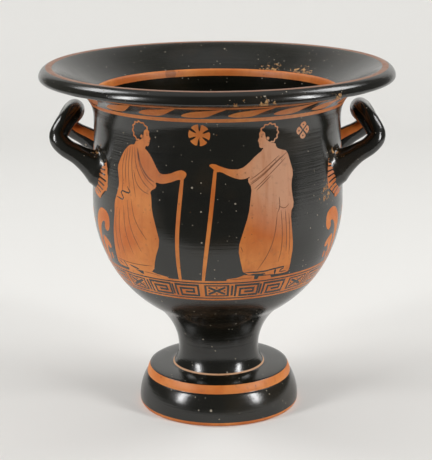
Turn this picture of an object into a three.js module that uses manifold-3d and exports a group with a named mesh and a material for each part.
// A red-figured bell krater: a deep wine-mixing bowl shaped like an upturned bell, thrown on the
// wheel with a low stem and a disc foot, two upturned loop handles added, and fired as one piece.
// Units are millimetres and +Z is up. The origin is the centre of the ring that the vase stands
// on. The handles point to -X and +X, and the main picture faces -Y.
import * as THREE from 'three';
import { mergeVertices } from 'three/addons/utils/BufferGeometryUtils.js';
import Module from 'manifold-3d';

// ---- driving dimensions -------------------------------------------------------------------
const HEIGHT = 352;
const LIP_RADIUS = 176;
const NECK_RADIUS = 123;
const BELLY_RADIUS = 126;
const WAIST_RADIUS = 41.2;
const FOOT_RADIUS = 82;
const WALL = 6.5;

// The foot: a disc with a bulging face, a sloping shoulder and a nearly flat top.
const REST_INNER_RADIUS = 62;
const REST_OUTER_RADIUS = 80.2;
const FOOT_EDGE_HEIGHT = 4;
const FOOT_FACE_HEIGHT = 31;
const FOOT_FACE_TOP_RADIUS = 75;
const FOOT_TOP_RADIUS = 71.4;
const FOOT_TOP_HEIGHT = 40;
const FOOT_HOLLOW_HEIGHT = 34;

// The stem: a small step at its base, then a concave waist.
const STEM_STEP_RADIUS = 46.4;
const STEM_STEP_HEIGHT = 42.5;
const WAIST_HEIGHT = 60;

// The bowl: half of an ellipse up to the belly, then a nearly straight side up to the neck.
const BELLY_HEIGHT = 216;
const BOWL_DEPTH = 128.5;
const BOWL_JOIN_HEIGHT = 107;
const NECK_HEIGHT = 300;
const FLOOR_HEIGHT = 97;

// The mouth: a flare that ends in a thick rounded lip, and a slope down to the inner edge.
const LIP_UNDER_RADIUS = 165;
const LIP_UNDER_HEIGHT = 337.8;
const LIP_WIDEST_HEIGHT = 342.5;
const CREST_RADIUS = 166;
const MOUTH_RADIUS = 119;
const MOUTH_HEIGHT = 327.5;

// The handles: two upturned loops whose arms leave the wall side by side.
const HANDLE_TUBE_RADIUS = 9.1;
const HANDLE_ROOT_HEIGHT = 261;
const HANDLE_ROOT_SPREAD = 46;
const HANDLE_ELBOW_REACH = 154.8;
const HANDLE_ELBOW_HEIGHT = 287;
const HANDLE_BAR_REACH = 142.5;
const HANDLE_BAR_HEIGHT = 305.5;
const HANDLE_FLARE_RADIUS = 21.5;
const HANDLE_FLARE_LENGTH = 28;

// How finely the round shapes are cut into flats.
const TURNS = 60;
const HANDLE_SIDES = 12;
const HANDLE_STEPS = 30;

const wasm = await Module();
wasm.setup();

const point = (radius, height) => new THREE.Vector2(radius, height);

// A cubic curve from one profile point to another, leaving and arriving along two directions.
function sweep(from, leave, arrive, to, steps) {
  const curve = new THREE.CubicBezierCurve(from, from.clone().add(leave), to.clone().sub(arrive), to);
  return curve.getPoints(steps);
}

// Radius of the bowl's outside, an ellipse below the belly.
function bowlRadius(height) {
  const down = (BELLY_HEIGHT - height) / BOWL_DEPTH;
  return BELLY_RADIUS * Math.sqrt(1 - down * down);
}

// Slope of the bowl's outside: how much the radius grows for each millimetre of height.
function bowlSlope(height) {
  const down = (BELLY_HEIGHT - height) / BOWL_DEPTH;
  return (BELLY_RADIUS * down) / (BOWL_DEPTH * Math.sqrt(1 - down * down));
}

// The bowl's outside from the join with the stem up to the belly, then the side up to the neck.
function bowlOutside() {
  const points = [];
  const joinAngle = Math.asin((BELLY_HEIGHT - BOWL_JOIN_HEIGHT) / BOWL_DEPTH);
  const steps = 8;
  for (let i = 1; i <= steps; i += 1) {
    const angle = joinAngle * (1 - i / steps);
    const height = BELLY_HEIGHT - BOWL_DEPTH * Math.sin(angle);
    points.push(point(bowlRadius(height), height));
  }
  const rise = NECK_HEIGHT - BELLY_HEIGHT;
  const side = sweep(
    point(BELLY_RADIUS, BELLY_HEIGHT),
    point(0, rise / 3),
    point(0, rise / 3),
    point(NECK_RADIUS, NECK_HEIGHT),
    3,
  );
  return [...points, ...side.slice(1)];
}

// The whole section, from the top of the hollow under the foot, round the outside and over the
// lip, and down the inside to the middle of the floor.
function vaseProfile() {
  const hollow = sweep(
    point(0, FOOT_HOLLOW_HEIGHT),
    point(24, 0),
    point(8, -22),
    point(REST_INNER_RADIUS, 0),
    5,
  );
  const footFace = sweep(
    point(FOOT_RADIUS, FOOT_EDGE_HEIGHT),
    point(0.4, 10),
    point(-3.5, 5),
    point(FOOT_FACE_TOP_RADIUS, FOOT_FACE_HEIGHT),
    5,
  );
  const stem = sweep(
    point(STEM_STEP_RADIUS, STEM_STEP_HEIGHT),
    point(-4, 6),
    point(0, 6),
    point(WAIST_RADIUS, WAIST_HEIGHT),
    3,
  );
  const joinSlope = bowlSlope(BOWL_JOIN_HEIGHT);
  const flare = sweep(
    point(WAIST_RADIUS, WAIST_HEIGHT),
    point(0, 20),
    point(8 * joinSlope, 8),
    point(bowlRadius(BOWL_JOIN_HEIGHT), BOWL_JOIN_HEIGHT),
    5,
  );
  const throat = sweep(
    point(NECK_RADIUS, NECK_HEIGHT),
    point(0, 25),
    point(24, 4),
    point(LIP_UNDER_RADIUS, LIP_UNDER_HEIGHT),
    7,
  );
  const lipLower = sweep(
    point(LIP_UNDER_RADIUS, LIP_UNDER_HEIGHT),
    point(6, 0.9),
    point(0, 4),
    point(LIP_RADIUS, LIP_WIDEST_HEIGHT),
    3,
  );
  const lipUpper = sweep(
    point(LIP_RADIUS, LIP_WIDEST_HEIGHT),
    point(0, 5.2),
    point(-4.5, 0),
    point(CREST_RADIUS, HEIGHT),
    4,
  );
  const mouth = sweep(
    point(CREST_RADIUS, HEIGHT),
    point(-6, 0),
    point(-18, -9.5),
    point(MOUTH_RADIUS, MOUTH_HEIGHT),
    4,
  );
  const inside = sweep(
    point(MOUTH_RADIUS, MOUTH_HEIGHT),
    point(-3.2, -4),
    point(0, -60),
    point(BELLY_RADIUS - WALL, BELLY_HEIGHT),
    4,
  );
  const floor = [];
  const steps = 8;
  for (let i = 1; i <= steps; i += 1) {
    const angle = (Math.PI / 2) * (i / steps);
    const radius = (BELLY_RADIUS - WALL) * Math.cos(angle);
    floor.push(point(radius, BELLY_HEIGHT - (BELLY_HEIGHT - FLOOR_HEIGHT) * Math.sin(angle)));
  }
  floor[steps - 1].x = 0;
  return [
    ...hollow,
    point(REST_OUTER_RADIUS, 0),
    point(FOOT_RADIUS - 0.4, FOOT_EDGE_HEIGHT * 0.3),
    ...footFace,
    point(FOOT_TOP_RADIUS, FOOT_TOP_HEIGHT),
    ...stem,
    ...flare.slice(1),
    ...bowlOutside(),
    ...throat.slice(1),
    ...lipLower.slice(1),
    ...lipUpper.slice(1),
    ...mouth.slice(1),
    ...inside.slice(1),
    ...floor,
  ];
}

function turnedGeometry(profile, turns) {
  const geometry = new THREE.LatheGeometry(profile, turns);
  geometry.rotateX(Math.PI / 2);
  return geometry;
}

// The middle line of the +X handle, from inside the wall, out, up and across, and back again.
function handleLine() {
  const halfLoop = [
    new THREE.Vector3(BELLY_RADIUS - 21, HANDLE_ROOT_SPREAD, HANDLE_ROOT_HEIGHT - 9),
    new THREE.Vector3(BELLY_RADIUS - 5, HANDLE_ROOT_SPREAD, HANDLE_ROOT_HEIGHT + 1),
    new THREE.Vector3(BELLY_RADIUS + 8.5, HANDLE_ROOT_SPREAD, HANDLE_ROOT_HEIGHT + 9),
    new THREE.Vector3(HANDLE_ELBOW_REACH - 7, HANDLE_ROOT_SPREAD - 1, HANDLE_ELBOW_HEIGHT - 9.5),
    new THREE.Vector3(HANDLE_ELBOW_REACH, HANDLE_ROOT_SPREAD - 5, HANDLE_ELBOW_HEIGHT),
    new THREE.Vector3(HANDLE_ELBOW_REACH - 5.5, HANDLE_ROOT_SPREAD - 15, HANDLE_ELBOW_HEIGHT + 12),
    new THREE.Vector3(HANDLE_BAR_REACH + 1.5, HANDLE_ROOT_SPREAD - 28, HANDLE_BAR_HEIGHT - 1),
  ];
  const middle = new THREE.Vector3(HANDLE_BAR_REACH, 0, HANDLE_BAR_HEIGHT);
  const otherHalf = halfLoop.map((p) => new THREE.Vector3(p.x, -p.y, p.z)).reverse();
  return new THREE.CatmullRomCurve3([...halfLoop, middle, ...otherHalf]);
}

// A round rod bent along the handle's middle line.
function handleGeometry() {
  const section = new THREE.Shape();
  for (let i = 0; i < HANDLE_SIDES; i += 1) {
    const angle = (2 * Math.PI * i) / HANDLE_SIDES;
    const x = HANDLE_TUBE_RADIUS * Math.cos(angle);
    const y = HANDLE_TUBE_RADIUS * Math.sin(angle);
    if (i === 0) section.moveTo(x, y);
    else section.lineTo(x, y);
  }
  return new THREE.ExtrudeGeometry(section, { steps: HANDLE_STEPS, extrudePath: handleLine() });
}

// The clay smoothed round a handle's root: a cone that widens into the wall.
function rootGeometry(side) {
  const profile = [
    point(0, 0),
    point(HANDLE_FLARE_RADIUS, 0),
    point(HANDLE_TUBE_RADIUS + 1.2, HANDLE_FLARE_LENGTH * 0.55),
    point(HANDLE_TUBE_RADIUS - 0.4, HANDLE_FLARE_LENGTH),
    point(0, HANDLE_FLARE_LENGTH),
  ];
  const geometry = turnedGeometry(profile, 16);
  const axis = new THREE.Vector3(0.84, 0, 0.54).normalize();
  const turn = new THREE.Quaternion().setFromUnitVectors(new THREE.Vector3(0, 0, 1), axis);
  geometry.applyQuaternion(turn);
  const rootDepth = Math.sqrt(BELLY_RADIUS ** 2 - HANDLE_ROOT_SPREAD ** 2) - 6;
  geometry.translate(rootDepth, side * (HANDLE_ROOT_SPREAD + 1), HANDLE_ROOT_HEIGHT - 7);
  return geometry;
}

function toSolid(geometry) {
  geometry.deleteAttribute('normal');
  geometry.deleteAttribute('uv');
  const merged = mergeVertices(geometry, 1e-3);
  const mesh = new wasm.Mesh({
    numProp: 3,
    vertProperties: new Float32Array(merged.attributes.position.array),
    triVerts: new Uint32Array(merged.index.array),
  });
  return new wasm.Manifold(mesh);
}

function toGeometry(solid) {
  const mesh = solid.getMesh();
  const geometry = new THREE.BufferGeometry();
  geometry.setAttribute('position', new THREE.BufferAttribute(mesh.vertProperties, 3));
  geometry.setIndex(new THREE.BufferAttribute(mesh.triVerts, 1));
  geometry.computeVertexNormals();
  return geometry;
}

// Both handles, each joined from its rod and two roots and cut off at the inside of the wall.
function handleSolids() {
  const solids = [];
  for (const turn of [0, Math.PI]) {
    const pieces = [handleGeometry(), rootGeometry(1), rootGeometry(-1)];
    for (const piece of pieces) {
      piece.rotateZ(turn);
      solids.push(toSolid(piece));
    }
  }
  return solids;
}

// The room inside the bowl, which keeps the handle ends from showing through the wall.
function bowlRoom() {
  const room = new THREE.CylinderGeometry(BELLY_RADIUS - WALL, BELLY_RADIUS - WALL, 90, TURNS);
  room.rotateX(Math.PI / 2);
  room.translate(0, 0, HANDLE_ROOT_HEIGHT);
  return toSolid(room);
}

function kraterGeometry() {
  let handles = null;
  for (const solid of handleSolids()) handles = handles ? handles.add(solid) : solid;
  const vase = toSolid(turnedGeometry(vaseProfile(), TURNS));
  return toGeometry(vase.add(handles.subtract(bowlRoom())));
}

const glaze = new THREE.MeshStandardMaterial({ color: '#2c2b26', roughness: 0.3, metalness: 0 });
const krater = new THREE.Mesh(kraterGeometry(), glaze);
krater.name = 'krater';

const group = new THREE.Group();
group.add(krater);

export default group;
